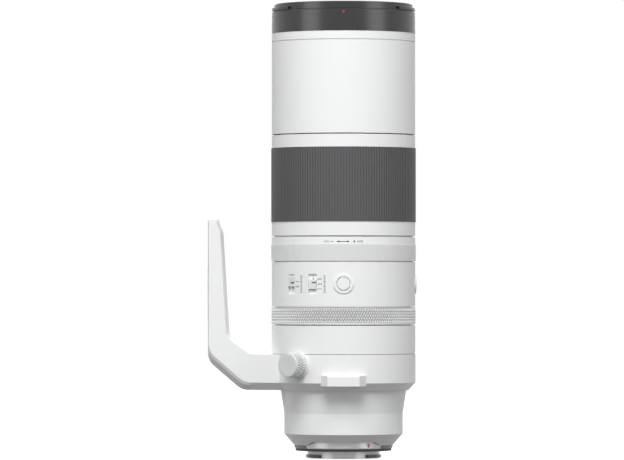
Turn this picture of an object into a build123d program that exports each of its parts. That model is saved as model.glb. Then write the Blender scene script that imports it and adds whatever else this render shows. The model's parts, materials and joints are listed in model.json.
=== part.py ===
from build123d import *
import os
from math import cos, radians, sin

# A long white telephoto zoom lens with a tripod collar, standing on its bayonet.
# Millimetres. The origin is the centre of the mount face, and +Z runs along the
# optical axis to the front. The foot points to -X, and the switches face -Y.

# Bands of the outside, from the mount face to the front
rim_height = 2.8
cover_chamfer_rise = 8.0
cover_cylinder_length = 14.7
cover_cone_length = 16.2
collar_width = 25.3
rear_band_length = 20.5
control_ring_width = 12.6
switch_band_length = 32.1
serration_width = 11.6
tension_band_width = 5.5
turning_gap = 1.0
zoom_rear_band_width = 9.8
grip_width = 52.2
zoom_front_band_width = 8.9
sliding_gap = 0.8
front_barrel_length = 65.1
trim_band_width = 6.2
hood_band_width = 15.2
front_rim_length = 5.5

# Nested tubes, from the inside out
guide_r = 41.0
guide_wall = 1.5
cam_wall = 1.8
tube_wall = 1.4
sleeve_wall = 1.2
seat_wall = 1.1
spigot_step = 1.0
barrel_wall = 2.75
rear_bore_wall = 3.0
layer_gap = 0.4
body_gap = 0.3
bearing_gap = 0.08
seam = 0.3
edge_break = 0.35
overrun = 2.0
shell_wall = 2.0

# Zoom travel
zoom_turn = 130
zoom_travel = 88.0
variator_travel = 40.0
roller_r = 2.5
slot_overrun = 5

# Heights that the bands give
cover_cylinder_z = rim_height + cover_chamfer_rise
cover_cone_z = cover_cylinder_z + cover_cylinder_length
collar_z = cover_cone_z + cover_cone_length
collar_top_z = collar_z + collar_width
control_z = collar_top_z + rear_band_length
switch_z = control_z + control_ring_width
tension_z = switch_z + switch_band_length
tension_band_z = tension_z + serration_width
tension_top_z = tension_band_z + tension_band_width
zoom_z = tension_top_z + turning_gap
grip_z = zoom_z + zoom_rear_band_width
grip_top_z = grip_z + grip_width
zoom_top_z = grip_top_z + zoom_front_band_width
front_z = zoom_top_z + sliding_gap
trim_z = front_z + front_barrel_length
hood_z = trim_z + trim_band_width
rim_z = hood_z + hood_band_width
front_end_z = rim_z + front_rim_length

# Radii that the nested tubes give
guide_bore_r = guide_r - guide_wall
cam_bore_r = guide_r + layer_gap
cam_r = cam_bore_r + cam_wall
tube_bore_r = cam_r + layer_gap
tube_r = tube_bore_r + tube_wall
sleeve_bore_r = tube_r + layer_gap
sleeve_r = sleeve_bore_r + sleeve_wall
switch_bore_r = sleeve_r + body_gap
inner_r = guide_bore_r - layer_gap
control_seat_r = switch_bore_r + seat_wall
spigot_seat_r = control_seat_r + spigot_step
rear_bore_r = guide_r + rear_bore_wall
collar_seat_r = rear_bore_r + shell_wall

# Outer radii: how far each band stands out from the barrel
knurl_rise = 0.4
hood_band_rise = 0.15
collar_rise = 0.15
front_rim_drop = 1.45
cover_top_drop = 1.6
cover_drop = 2.5
cover_lip_gap = 0.2
mount_rim_r = 34.6
barrel_r = control_seat_r + barrel_wall
knurl_r = barrel_r + knurl_rise
hood_band_r = barrel_r + hood_band_rise
collar_r = barrel_r + collar_rise
front_rim_r = barrel_r - front_rim_drop
cover_top_r = collar_seat_r - cover_top_drop
cover_r = cover_top_r - cover_drop
cover_lip_r = mount_rim_r + 2 * cover_lip_gap


def turn(points, mode=Mode.ADD):
    """Revolve an outline of (radius, height) points about the optical axis."""
    with BuildSketch(Plane.XZ) as outline:
        with BuildLine():
            Polyline(*points, close=True)
        make_face()
    revolve(outline.sketch, axis=Axis.Z, mode=mode)


def tube(bore, outer, bottom, top, mode=Mode.ADD):
    """A plain ring between two heights."""
    turn([(bore, bottom), (outer, bottom), (outer, top), (bore, top)], mode)


def sector(bore, outer, bottom, top, middle, arc, mode=Mode.ADD):
    """A piece of a ring, centred on an angle from +X."""
    start = middle - arc / 2
    with BuildSketch(Plane.XY.offset(bottom)) as plan:
        with BuildLine():
            outside = CenterArc((0, 0), outer, start, arc)
            inside = CenterArc((0, 0), bore, start, arc)
            Line(outside @ 0, inside @ 0)
            Line(outside @ 1, inside @ 1)
        make_face()
    extrude(plan.sketch, amount=top - bottom, mode=mode)


def facing(angle, radius, height):
    """A plane that faces out from the axis, with its own Y along the axis."""
    out = Vector(1, 0, 0).rotate(Axis.Z, angle)
    return Plane(
        origin=out * radius + Vector(0, 0, height),
        x_dir=out.rotate(Axis.Z, 90),
        z_dir=out,
    )


def rod(plane, radius, length, mode=Mode.ADD):
    """A round bar standing on a plane."""
    with BuildSketch(plane) as face:
        Circle(radius)
    extrude(face.sketch, amount=length, mode=mode)


def bar(plane, width, height, length, mode=Mode.ADD):
    """A rectangular bar standing on a plane."""
    with BuildSketch(plane) as face:
        Rectangle(width, height)
    extrude(face.sketch, amount=length, mode=mode)


def element(radius, rear, front, rear_sag, front_sag):
    """A glass element between two heights on the axis, with each rim's sag."""
    with BuildSketch(Plane.XZ) as outline:
        with BuildLine():
            rear_face = TangentArc((0, rear), (radius, rear + rear_sag), tangent=(1, 0))
            front_face = TangentArc((0, front), (radius, front - front_sag), tangent=(1, 0))
            Line(rear_face @ 1, front_face @ 1)
            Line(rear_face @ 0, front_face @ 0)
        make_face()
    revolve(outline.sketch, axis=Axis.Z)


def finish(part, name):
    """Label a finished piece and write it."""
    part.label = name
    export_step(part, f"parts/{name}.step")


os.makedirs("parts", exist_ok=True)

# Mount ring: metal flange, rim wall and bayonet spigot with three lugs
mount_bore_r = 23.0
spigot_r = 25.5
spigot_length = 6.5
relief_r = 27.4
relief_depth = 0.5
flange_thickness = 2.6
mount_wall = 2.4
mount_wall_rise = 3.0
rim_chamfer = 1.2
seal_seat_depth = 0.6
seal_seat_width = 1.5
lug_r = 26.9
lug_bottom = 6.0
lug_top = 3.9
lug_arc = 42
lug_middles = (-150, -30, 90)
mount_wall_bore_r = mount_rim_r - mount_wall
seal_outer_r = mount_rim_r - rim_chamfer / 2
seal_seat_r = seal_outer_r - seal_seat_width
screw_circle_r = 29.9
screw_shank_r = 1.0
screw_head_r = 1.9
screw_head_depth = 1.3
screw_head_recess = 0.2
screw_length = 4.5
screw_count = 4
screw_start = 45
screw_gap = 0.05

screw_places = [
    Plane(origin=(screw_circle_r * cos(radians(angle)), screw_circle_r * sin(radians(angle)), 0))
    for angle in [screw_start + 360 * index / screw_count for index in range(screw_count)]
]

with BuildPart() as mount_ring:
    turn([
        (mount_bore_r, -spigot_length),
        (spigot_r, -spigot_length),
        (spigot_r, relief_depth),
        (relief_r, relief_depth),
        (relief_r, 0),
        (seal_seat_r, 0),
        (seal_seat_r, seal_seat_depth),
        (seal_outer_r, seal_seat_depth),
        (mount_rim_r, rim_chamfer),
        (mount_rim_r, flange_thickness + mount_wall_rise),
        (mount_wall_bore_r, flange_thickness + mount_wall_rise),
        (mount_wall_bore_r, flange_thickness),
        (mount_bore_r, flange_thickness),
    ])
    for middle in lug_middles:
        sector(spigot_r - edge_break, lug_r, -lug_bottom, -lug_top, middle, lug_arc)
    for place in screw_places:
        rod(place, screw_head_r + screw_gap, screw_head_recess + screw_head_depth, Mode.SUBTRACT)
        rod(place, screw_shank_r + screw_gap, flange_thickness + overrun, Mode.SUBTRACT)
finish(mount_ring.part, "mount_ring")

with BuildPart() as mount_screws:
    for place in screw_places:
        rod(place.offset(screw_head_recess), screw_head_r, screw_head_depth)
        rod(place.offset(screw_head_recess), screw_shank_r, screw_length)
finish(mount_screws.part, "mount_screws")

# Rubber seal in the rebate round the mount face, which it hangs below
seal_width = 1.0
seal_drop = 1.2
with BuildPart() as mount_seal:
    turn([
        (seal_outer_r - seal_width, seal_seat_depth),
        (seal_outer_r - seal_width, 0),
        (seal_outer_r - seal_width / 2, -seal_drop),
        (seal_outer_r - seal_width / 4, -seal_drop),
        (seal_outer_r, seal_seat_depth),
    ])
finish(mount_seal.part, "mount_seal")

# Rear baffle and the contacts inside the throat
baffle_gap = 0.1
baffle_recess = 0.2
baffle_window_width = 33.0
baffle_window_height = 26.0
baffle_corner_r = 3.0
contact_depth = 5.4
contact_thickness = 3.0
contact_arc = 74
contact_angle = -144
pin_r = 0.55
pin_rise = 0.3
pin_count = 12
pin_arc = 64
baffle_r = mount_bore_r - baffle_gap
contact_bore_r = baffle_r - contact_thickness
pin_circle_r = baffle_r - contact_thickness / 2
with BuildPart() as rear_baffle:
    with BuildSketch(Plane.XY.offset(baffle_recess)) as baffle_face:
        Circle(baffle_r)
        RectangleRounded(
            baffle_window_width, baffle_window_height, baffle_corner_r, mode=Mode.SUBTRACT
        )
    extrude(baffle_face.sketch, amount=flange_thickness - baffle_recess)
finish(rear_baffle.part, "rear_baffle")

with BuildPart() as contact_block:
    sector(
        contact_bore_r, baffle_r, -contact_depth, baffle_recess, contact_angle, contact_arc
    )
finish(contact_block.part, "contact_block")

with BuildPart() as contact_pins:
    for index in range(pin_count):
        angle = radians(contact_angle + pin_arc * (index / (pin_count - 1) - 1 / 2))
        centre = (pin_circle_r * cos(angle), pin_circle_r * sin(angle), -contact_depth - pin_rise)
        rod(Plane(origin=centre), pin_r, pin_rise)
finish(contact_pins.part, "contact_pins")

# Rear barrel: the main casting, from the mount to the switch barrel
base_r = 32.0
base_bore_r = 24.0
base_thickness = 2.9
base_height = 4.9
waist_gap = 0.5
waist_z = 14.0
shoulder_drop = 0.3
cover_wall = 1.8
guide_seat_length = 7.0
control_seat_share = 0.6
rear_barrel_top_z = control_z + control_ring_width * control_seat_share
base_z = flange_thickness
base_floor_z = base_z + base_thickness
shoulder_z = collar_z - shoulder_drop
guide_seat_z = rear_barrel_top_z - guide_seat_length
cell_seat_r = base_r - mount_wall
waist_r = cover_r - cover_wall - waist_gap
with BuildPart() as rear_barrel:
    turn([
        (base_bore_r, base_z),
        (base_r, base_z),
        (base_r, base_z + base_height),
        (waist_r, waist_z),
        (waist_r, shoulder_z),
        (collar_seat_r, shoulder_z),
        (collar_seat_r, collar_top_z + seam),
        (barrel_r, collar_top_z + seam),
        (barrel_r, control_z - seam),
        (control_seat_r, control_z - seam),
        (control_seat_r, rear_barrel_top_z),
        (guide_r, rear_barrel_top_z),
        (guide_r, guide_seat_z),
        (rear_bore_r, guide_seat_z - guide_seat_length / 2),
        (rear_bore_r, shoulder_z + shell_wall),
        (waist_r - shell_wall, shoulder_z + shell_wall),
        (waist_r - shell_wall, waist_z + shell_wall / 2),
        (cell_seat_r, base_floor_z + shell_wall),
        (cell_seat_r, base_floor_z),
        (base_bore_r, base_floor_z),
    ])
    for place in screw_places:
        rod(place, screw_shank_r + screw_gap, screw_head_recess + screw_length, Mode.SUBTRACT)
finish(rear_barrel.part, "rear_barrel")

# Rear cover: white shell between the mount ring and the collar
cover_lip_height = 1.7
window_half = 25.5
window_top_half = 22.0
window_rise = 2.6
window_fillet = 2.0
lip_bore_r = mount_rim_r + cover_lip_gap
with BuildPart() as rear_cover:
    turn([
        (lip_bore_r, rim_height),
        (cover_lip_r, rim_height),
        (cover_r, cover_cylinder_z),
        (cover_r, cover_cone_z),
        (cover_top_r, shoulder_z),
        (cover_top_r - cover_wall, shoulder_z),
        (cover_r - cover_wall, cover_cone_z),
        (cover_r - cover_wall, cover_cylinder_z + cover_wall / 2),
        (lip_bore_r, rim_height + cover_lip_height),
    ])
    with BuildSketch(facing(-90, base_r / 2, rim_height)) as window:
        with BuildLine():
            Polyline(
                (-window_half, -overrun),
                (-window_half, 0),
                (-window_top_half, window_rise),
                (window_top_half, window_rise),
                (window_half, 0),
                (window_half, -overrun),
                close=True,
            )
        make_face()
        fillet(window.vertices().group_by(Axis.Y)[-1], window_fillet)
    extrude(window.sketch, amount=cover_r, mode=Mode.SUBTRACT)
finish(rear_cover.part, "rear_cover")

# Rear lens group and the control board round it
rear_cell_gap = 0.1
rear_cell_length = 29.0
rear_cell_wall = 3.4
board_z = 20.0
board_thickness = 1.6
rear_cell_r = cell_seat_r - rear_cell_gap
rear_glass_r = rear_cell_r - rear_cell_wall
rear_glass_gap = 0.1
rear_cell_top_z = base_floor_z + rear_cell_length
rear_lens_thickness = 4.2
rear_lens_pitch = 8.5
rear_lens_start = 2.0
rear_lens_sag = 1.1
rear_lens_count = 3
with BuildPart() as rear_cell:
    tube(rear_glass_r, rear_cell_r, base_floor_z, rear_cell_top_z)
finish(rear_cell.part, "rear_cell")

with BuildPart() as rear_lenses:
    for index in range(rear_lens_count):
        rear = base_floor_z + rear_lens_start + rear_lens_pitch * index
        element(
            rear_glass_r - rear_glass_gap,
            rear,
            rear + rear_lens_thickness,
            rear_lens_sag,
            rear_lens_sag,
        )
finish(rear_lenses.part, "rear_lenses")

with BuildPart() as control_board:
    tube(rear_cell_r + body_gap, waist_r - shell_wall - body_gap, board_z, board_z + board_thickness)
finish(control_board.part, "control_board")

# Cam roller stations, shared by the guide, the cam and the moving groups
front_roller_z = 106.0
variator_z = 164.0
front_roller_angles = (30, 150, 270)
variator_roller_angles = (90, 210, 330)
guide_bottom_z = 46.0
cam_top_z = 212.0
slot_half_width = roller_r + body_gap
cam_bottom_z = rear_barrel_top_z + layer_gap
cam_flange_thickness = 3.0
sleeve_bottom_z = cam_bottom_z + cam_flange_thickness
guide_flange_thickness = 2.5
guide_flange_bore_r = 20.0


def straight_slot(angle, low, travel):
    """A lengthwise slot in the guide barrel for one roller."""
    length = travel + 4 * slot_half_width
    plane = facing(angle, guide_bore_r - overrun, low + travel / 2)
    with BuildSketch(plane) as face:
        SlotOverall(length, 2 * slot_half_width, rotation=90)
    extrude(face.sketch, amount=guide_wall + 2 * overrun, mode=Mode.SUBTRACT)


def cam_slot(angle, low, travel):
    """A left-hand helical slot that lifts one roller over the zoom's turn."""
    lift_per_degree = travel / zoom_turn
    middle_r = (cam_bore_r + cam_r) / 2
    path = Helix(
        pitch=360 * lift_per_degree,
        height=(zoom_turn + 2 * slot_overrun) * lift_per_degree,
        radius=middle_r,
        center=(0, 0, low - slot_overrun * lift_per_degree),
        lefthand=True,
        mode=Mode.PRIVATE,
    )
    with BuildSketch(Plane(origin=path @ 0, x_dir=(1, 0, 0), z_dir=path % 0)) as section:
        Rectangle(cam_wall + 2 * body_gap, 2 * slot_half_width)
    cutter = sweep(section.sketch, path=path, is_frenet=True, mode=Mode.PRIVATE)
    add(cutter, rotation=(0, 0, angle + slot_overrun), mode=Mode.SUBTRACT)


with BuildPart() as guide_barrel:
    turn([
        (guide_flange_bore_r, guide_bottom_z),
        (guide_r, guide_bottom_z),
        (guide_r, cam_top_z),
        (guide_bore_r, cam_top_z),
        (guide_bore_r, guide_bottom_z + guide_flange_thickness),
        (guide_flange_bore_r, guide_bottom_z + guide_flange_thickness),
    ])
    for angle in front_roller_angles:
        straight_slot(angle, front_roller_z, zoom_travel)
    for angle in variator_roller_angles:
        straight_slot(angle, variator_z, variator_travel)
finish(guide_barrel.part, "guide_barrel")

with BuildPart() as cam_barrel:
    turn([
        (cam_bore_r, cam_bottom_z),
        (sleeve_r, cam_bottom_z),
        (sleeve_r, sleeve_bottom_z),
        (cam_r, sleeve_bottom_z),
        (cam_r, cam_top_z),
        (cam_bore_r, cam_top_z),
    ])
    for angle in front_roller_angles:
        cam_slot(angle, front_roller_z, zoom_travel)
    for angle in variator_roller_angles:
        cam_slot(angle, variator_z, variator_travel)
finish(cam_barrel.part, "cam_barrel")

# Zoom ring: a white sleeve with a rubber grip
lip_length = 7.0
sleeve_relief = 2.2
grip_thickness = 1.85
grip_seat_r = knurl_r - grip_thickness
grip_rib_count = 160
grip_groove_width = 0.6
grip_groove_depth = 0.4
with BuildPart() as zoom_sleeve:
    turn([
        (sleeve_bore_r, sleeve_bottom_z),
        (sleeve_r, sleeve_bottom_z),
        (sleeve_r, zoom_z),
        (barrel_r, zoom_z),
        (barrel_r, grip_z),
        (grip_seat_r, grip_z),
        (grip_seat_r, grip_top_z),
        (barrel_r, grip_top_z),
        (barrel_r, zoom_top_z),
        (sleeve_bore_r, zoom_top_z),
        (sleeve_bore_r, zoom_top_z - lip_length),
        (sleeve_bore_r + sleeve_relief, zoom_top_z - lip_length - sleeve_relief),
        (sleeve_bore_r + sleeve_relief, zoom_z + lip_length),
        (sleeve_bore_r, zoom_z + lip_length - sleeve_relief),
    ])
finish(zoom_sleeve.part, "zoom_sleeve")

with BuildPart() as zoom_grip:
    with BuildSketch(Plane.XY.offset(grip_z)) as grip_section:
        Circle(knurl_r)
        with PolarLocations(knurl_r, grip_rib_count):
            Rectangle(2 * grip_groove_depth, grip_groove_width, mode=Mode.SUBTRACT)
        Circle(grip_seat_r, mode=Mode.SUBTRACT)
    extrude(grip_section.sketch, amount=grip_width)
finish(zoom_grip.part, "zoom_grip")

# Switch barrel, with its slide switches and push buttons
switch_seam_z = switch_z + seam
switch_top_z = tension_z - seam
spigot_top_z = zoom_z - body_gap
side_button_z = 116.5
side_button_r = 4.4
button_flange_r = 5.2
button_boss_r = 6.75
button_boss_rise = 0.55
button_rise = 0.85
button_travel = 0.6
button_gap = 0.08
button_groove_width = 0.7
button_groove_depth = 0.9
button_angles = {"side_button": -90, "top_button": 0}
switch_floor_rise = 1.4
switch_pocket_width = 6.5
switch_pocket_length = 14.2
switch_slot_width = 1.3
switch_slot_slack = 0.6
slider_width = 5.9
slider_length = 6.6
slider_rise = 0.4
slider_stem_length = 0.9
slider_gap = 0.25
slider_rib_count = 5
slider_rib_depth = 0.35
slider_rib_width = 0.55
switch_z_middle = 116.3
switch_angles = {"stabilizer_switch": -135.8, "focus_switch": -115.3}
slider_offsets = {"stabilizer_switch": 1.7, "focus_switch": 0}
slider_travels = {"stabilizer_switch": 3.4, "focus_switch": 6.8}
button_face_r = barrel_r + button_rise
switch_floor_r = control_seat_r + switch_floor_rise
slider_face_r = barrel_r + slider_rise
button_pocket_r = button_flange_r + button_gap * 3
button_stop_r = switch_floor_r + edge_break
board_face_r = control_seat_r - edge_break
button_back_r = board_face_r + edge_break + button_travel + button_gap
with BuildPart() as switch_barrel:
    turn([
        (switch_bore_r, rear_barrel_top_z),
        (control_seat_r, rear_barrel_top_z),
        (control_seat_r, switch_seam_z),
        (barrel_r, switch_seam_z),
        (barrel_r, switch_top_z),
        (spigot_seat_r, switch_top_z),
        (spigot_seat_r, spigot_top_z),
        (switch_bore_r, spigot_top_z),
        (switch_bore_r, switch_top_z),
        (control_seat_r, switch_top_z - shell_wall),
        (control_seat_r, switch_seam_z + shell_wall),
        (switch_bore_r, switch_seam_z),
    ])
    for angle in button_angles.values():
        rod(
            facing(angle, control_seat_r, side_button_z),
            button_boss_r,
            barrel_r + button_boss_rise - control_seat_r,
        )
        rod(
            facing(angle, switch_bore_r, side_button_z),
            button_pocket_r,
            button_stop_r - switch_bore_r,
            Mode.SUBTRACT,
        )
        rod(
            facing(angle, switch_bore_r, side_button_z),
            side_button_r + button_gap,
            button_face_r - switch_bore_r,
            Mode.SUBTRACT,
        )
        rod(
            facing(angle, barrel_r + button_boss_rise - button_groove_depth, side_button_z),
            side_button_r + button_groove_width,
            button_groove_depth,
            Mode.SUBTRACT,
        )
    for name, angle in switch_angles.items():
        slot_length = slider_travels[name] + slider_stem_length + switch_slot_slack
        floor = facing(angle, switch_floor_r, switch_z_middle)
        bar(floor, switch_pocket_width, switch_pocket_length, overrun, Mode.SUBTRACT)
        with BuildSketch(facing(angle, switch_bore_r, switch_z_middle)) as slot:
            SlotOverall(slot_length, switch_slot_width, rotation=90)
        extrude(slot.sketch, amount=button_face_r - switch_bore_r, mode=Mode.SUBTRACT)
finish(switch_barrel.part, "switch_barrel")

with BuildPart() as switch_board:
    sector(
        switch_bore_r + body_gap,
        board_face_r,
        switch_seam_z + 2 * shell_wall,
        switch_top_z - 2 * shell_wall,
        (min(switch_angles.values()) + max(button_angles.values())) / 2,
        max(button_angles.values()) - min(switch_angles.values()) + 4 * slot_overrun,
    )
finish(switch_board.part, "switch_board")

for name, angle in button_angles.items():
    with BuildPart() as button:
        back = facing(angle, button_back_r, side_button_z)
        rod(back, button_flange_r, button_stop_r - button_gap - button_back_r)
        rod(back, side_button_r, button_face_r - button_back_r)
        fillet(button.faces().sort_by(Axis(back.origin, back.z_dir))[-1].edges(), edge_break)
    finish(button.part, name)

for name, angle in switch_angles.items():
    slider_z = switch_z_middle + slider_offsets[name]
    with BuildPart() as slider:
        seat = facing(angle, switch_floor_r + button_gap, slider_z)
        bar(seat, slider_width, slider_length, slider_face_r - switch_floor_r - button_gap)
        stem = facing(angle, control_seat_r, slider_z)
        bar(
            stem,
            switch_slot_width - 2 * slider_gap,
            slider_stem_length,
            switch_floor_r + 2 * button_gap - control_seat_r,
        )
        with BuildSketch(facing(angle, slider_face_r, slider_z)) as grooves:
            with GridLocations(0, slider_length / (slider_rib_count + 1), 1, slider_rib_count):
                Rectangle(slider_width, slider_rib_width)
        extrude(grooves.sketch, amount=-slider_rib_depth, mode=Mode.SUBTRACT)
    finish(slider.part, name)

# Tension ring and knurled control ring, each turning on its seat
serration_rise = 0.35
serration_count = 222
serration_groove_width = 0.6
serration_groove_depth = 0.4
ring_chamfer = 0.5
serration_r = barrel_r + serration_rise
with BuildPart() as tension_ring:
    tube(spigot_seat_r + bearing_gap, barrel_r, tension_z + seam, tension_top_z)
    with BuildSketch(Plane.XY.offset(tension_z + seam)) as serration:
        Circle(serration_r)
        with PolarLocations(serration_r, serration_count):
            Rectangle(2 * serration_groove_depth, serration_groove_width, mode=Mode.SUBTRACT)
        Circle(spigot_seat_r + bearing_gap, mode=Mode.SUBTRACT)
    extrude(serration.sketch, amount=serration_width)
finish(tension_ring.part, "tension_ring")

control_bottom_z = control_z + seam
control_top_z = switch_z - seam / 2
with BuildPart() as control_ring:
    turn([
        (control_seat_r + bearing_gap, control_bottom_z),
        (knurl_r - ring_chamfer, control_bottom_z),
        (knurl_r, control_bottom_z + ring_chamfer),
        (knurl_r, control_top_z - ring_chamfer),
        (knurl_r - ring_chamfer, control_top_z),
        (control_seat_r + bearing_gap, control_top_z),
    ])
finish(control_ring.part, "control_ring")

# Extending tube with its rollers, and the front barrel that rides on it
tube_start = 5.0
front_flange_length = 3.2
front_skin = 2.2
cell_z = trim_z + front_flange_length
tube_bottom_z = front_roller_z - tube_start
with BuildPart() as extension_tube:
    tube(tube_bore_r, tube_r, tube_bottom_z, cell_z)
    for angle in front_roller_angles:
        rod(facing(angle, cam_r, front_roller_z), roller_r, sleeve_r - cam_r, Mode.SUBTRACT)
finish(extension_tube.part, "extension_tube")

with BuildPart() as front_rollers:
    for angle in front_roller_angles:
        start_r = guide_bore_r + body_gap
        rod(facing(angle, start_r, front_roller_z), roller_r, tube_r - body_gap - start_r)
finish(front_rollers.part, "front_rollers")

with BuildPart() as front_barrel:
    turn([
        (barrel_r - front_skin, front_z),
        (barrel_r, front_z),
        (barrel_r, trim_z),
        (tube_r, trim_z),
        (tube_r, trim_z - front_flange_length),
        (barrel_r - front_skin, trim_z - 2 * front_flange_length),
    ])
finish(front_barrel.part, "front_barrel")

# Front cell, trim, hood mount and filter thread
rim_wall = 1.8
filter_wall = 0.8
filter_thread_length = 8.0
front_cell_wall = 1.8
front_cell_step = 0.8
front_cell_length = 15.0
hood_gap = 0.1
trim_step = 0.85
hood_groove = 0.7
hood_lug_height = 1.7
hood_lug_rise = 1.5
hood_lug_arc = 80
hood_lug_middles = (180, 0)
glass_gap = 0.1
front_glass_thickness = 10.0
front_glass_sag = 5.5
front_glass_rear_sag = 1.2
doublet_depth = 16.0
doublet_thickness = 6.0
filter_r = front_rim_r - rim_wall
hood_lug_r = front_rim_r + hood_lug_height
front_cell_r = filter_r - front_cell_step
front_glass_r = front_cell_r - front_cell_wall
filter_seat_r = filter_r + filter_wall
filter_z = front_end_z - filter_thread_length
hood_bore_r = filter_seat_r + hood_gap
cell_ledge_z = cell_z + front_cell_wall
with BuildPart() as trim_ring:
    turn([
        (hood_bore_r, trim_z),
        (barrel_r - trim_step, trim_z),
        (barrel_r - trim_step, trim_z + seam),
        (barrel_r - edge_break, trim_z + seam),
        (barrel_r, trim_z + seam + edge_break),
        (barrel_r, hood_z),
        (hood_bore_r, hood_z),
    ])
finish(trim_ring.part, "trim_ring")

with BuildPart() as hood_mount:
    turn([
        (hood_bore_r, hood_z),
        (hood_band_r, hood_z),
        (hood_band_r, rim_z - edge_break),
        (hood_band_r - edge_break, rim_z),
        (hood_bore_r, rim_z),
    ])
finish(hood_mount.part, "hood_mount")

with BuildPart() as filter_ring:
    turn([
        (filter_r, filter_z),
        (filter_seat_r, filter_z),
        (filter_seat_r, rim_z + hood_groove),
        (front_rim_r, rim_z + hood_groove),
        (front_rim_r, front_end_z - edge_break),
        (front_rim_r - edge_break, front_end_z),
        (filter_r, front_end_z),
    ])
    for middle in hood_lug_middles:
        sector(
            front_rim_r - edge_break,
            hood_lug_r,
            rim_z + hood_groove + edge_break,
            rim_z + hood_groove + edge_break + hood_lug_rise,
            middle,
            hood_lug_arc,
        )
finish(filter_ring.part, "filter_ring")

with BuildPart() as front_cell:
    turn([
        (tube_bore_r, cell_z),
        (front_cell_r, cell_z),
        (front_cell_r, cell_z + front_cell_length),
        (front_glass_r, cell_z + front_cell_length),
        (front_glass_r, cell_ledge_z),
        (tube_bore_r, cell_ledge_z),
    ])
finish(front_cell.part, "front_cell")

with BuildPart() as front_element:
    element(
        front_glass_r - glass_gap,
        cell_ledge_z,
        cell_ledge_z + front_glass_thickness,
        front_glass_rear_sag,
        front_glass_sag,
    )
finish(front_element.part, "front_element")

with BuildPart() as front_doublet:
    doublet_z = cell_z - doublet_depth
    doublet_r = tube_bore_r - glass_gap
    element(doublet_r, doublet_z, doublet_z + doublet_thickness, -edge_break, front_glass_rear_sag)
finish(front_doublet.part, "front_doublet")

# Variator group, carried by rollers that pass through the guide into the cam
variator_length = 12.0
variator_glass_r = 24.0
variator_wall = 3.0
variator_web = 3.0
variator_lens_thickness = 3.5
variator_lens_sag = 1.4
roller_root = 5.0
variator_low_z = variator_z - variator_length / 2
variator_high_z = variator_z + variator_length / 2
with BuildPart() as variator_cell:
    hub_r = variator_glass_r + variator_wall
    turn([
        (variator_glass_r, variator_low_z),
        (hub_r, variator_low_z),
        (hub_r, variator_z - variator_web / 2),
        (inner_r - variator_wall, variator_z - variator_web / 2),
        (inner_r - variator_wall, variator_low_z),
        (inner_r, variator_low_z),
        (inner_r, variator_high_z),
        (inner_r - variator_wall, variator_high_z),
        (inner_r - variator_wall, variator_z + variator_web / 2),
        (hub_r, variator_z + variator_web / 2),
        (hub_r, variator_high_z),
        (variator_glass_r, variator_high_z),
    ])
    for angle in variator_roller_angles:
        rod(
            facing(angle, inner_r - variator_wall, variator_z), roller_r, roller_root, Mode.SUBTRACT
        )
finish(variator_cell.part, "variator_cell")

with BuildPart() as variator_rollers:
    for angle in variator_roller_angles:
        start_r = inner_r - variator_wall
        rod(facing(angle, start_r, variator_z), roller_r, cam_r - layer_gap / 2 - start_r)
finish(variator_rollers.part, "variator_rollers")

with BuildPart() as variator_lenses:
    for rear in (variator_low_z + glass_gap, variator_z + variator_web / 2):
        element(
            variator_glass_r - glass_gap,
            rear,
            rear + variator_lens_thickness,
            variator_lens_sag,
            variator_lens_sag,
        )
finish(variator_lenses.part, "variator_lenses")

# Focus group: a cell that slides on two rods, driven by two linear motors
iris_z = 77.0
rod_r = 1.25
rod_circle_r = 34.0
rod_angles = (90, 270)
motor_angles = (0, 180)
motor_width = 10.0
motor_depth = 3.6
focus_travel = 12.0
focus_length = 9.0
focus_start = 2.5
focus_r = 30.0
focus_glass_r = 22.0
focus_ear_r = 5.0
focus_lens_thickness = 3.2
focus_lens_sag = 1.2
rod_gap = 0.06
guide_floor_z = guide_bottom_z + guide_flange_thickness
focus_z = guide_floor_z + focus_start
with BuildPart() as focus_rods:
    for angle in rod_angles:
        foot = facing(angle, rod_circle_r, guide_floor_z).origin
        rod(Plane(origin=foot), rod_r, iris_z - guide_floor_z)
finish(focus_rods.part, "focus_rods")

with BuildPart() as focus_motor:
    for angle in motor_angles:
        coil = facing(angle, rod_circle_r, (guide_floor_z + iris_z) / 2)
        bar(coil, motor_width, iris_z - guide_floor_z, motor_depth)
finish(focus_motor.part, "focus_motor")

with BuildPart() as focus_cell:
    tube(focus_glass_r, focus_r, focus_z, focus_z + focus_length)
    for angle in rod_angles:
        ear = facing(angle, rod_circle_r, focus_z).origin
        rod(Plane(origin=ear), focus_ear_r, focus_length)
        rod(Plane(origin=ear), rod_r + rod_gap, focus_length, Mode.SUBTRACT)
finish(focus_cell.part, "focus_cell")

with BuildPart() as focus_lens:
    middle = focus_z + focus_length / 2 - focus_lens_thickness / 2
    element(
        focus_glass_r - glass_gap,
        middle,
        middle + focus_lens_thickness,
        focus_lens_sag,
        focus_lens_sag,
    )
finish(focus_lens.part, "focus_lens")

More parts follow.
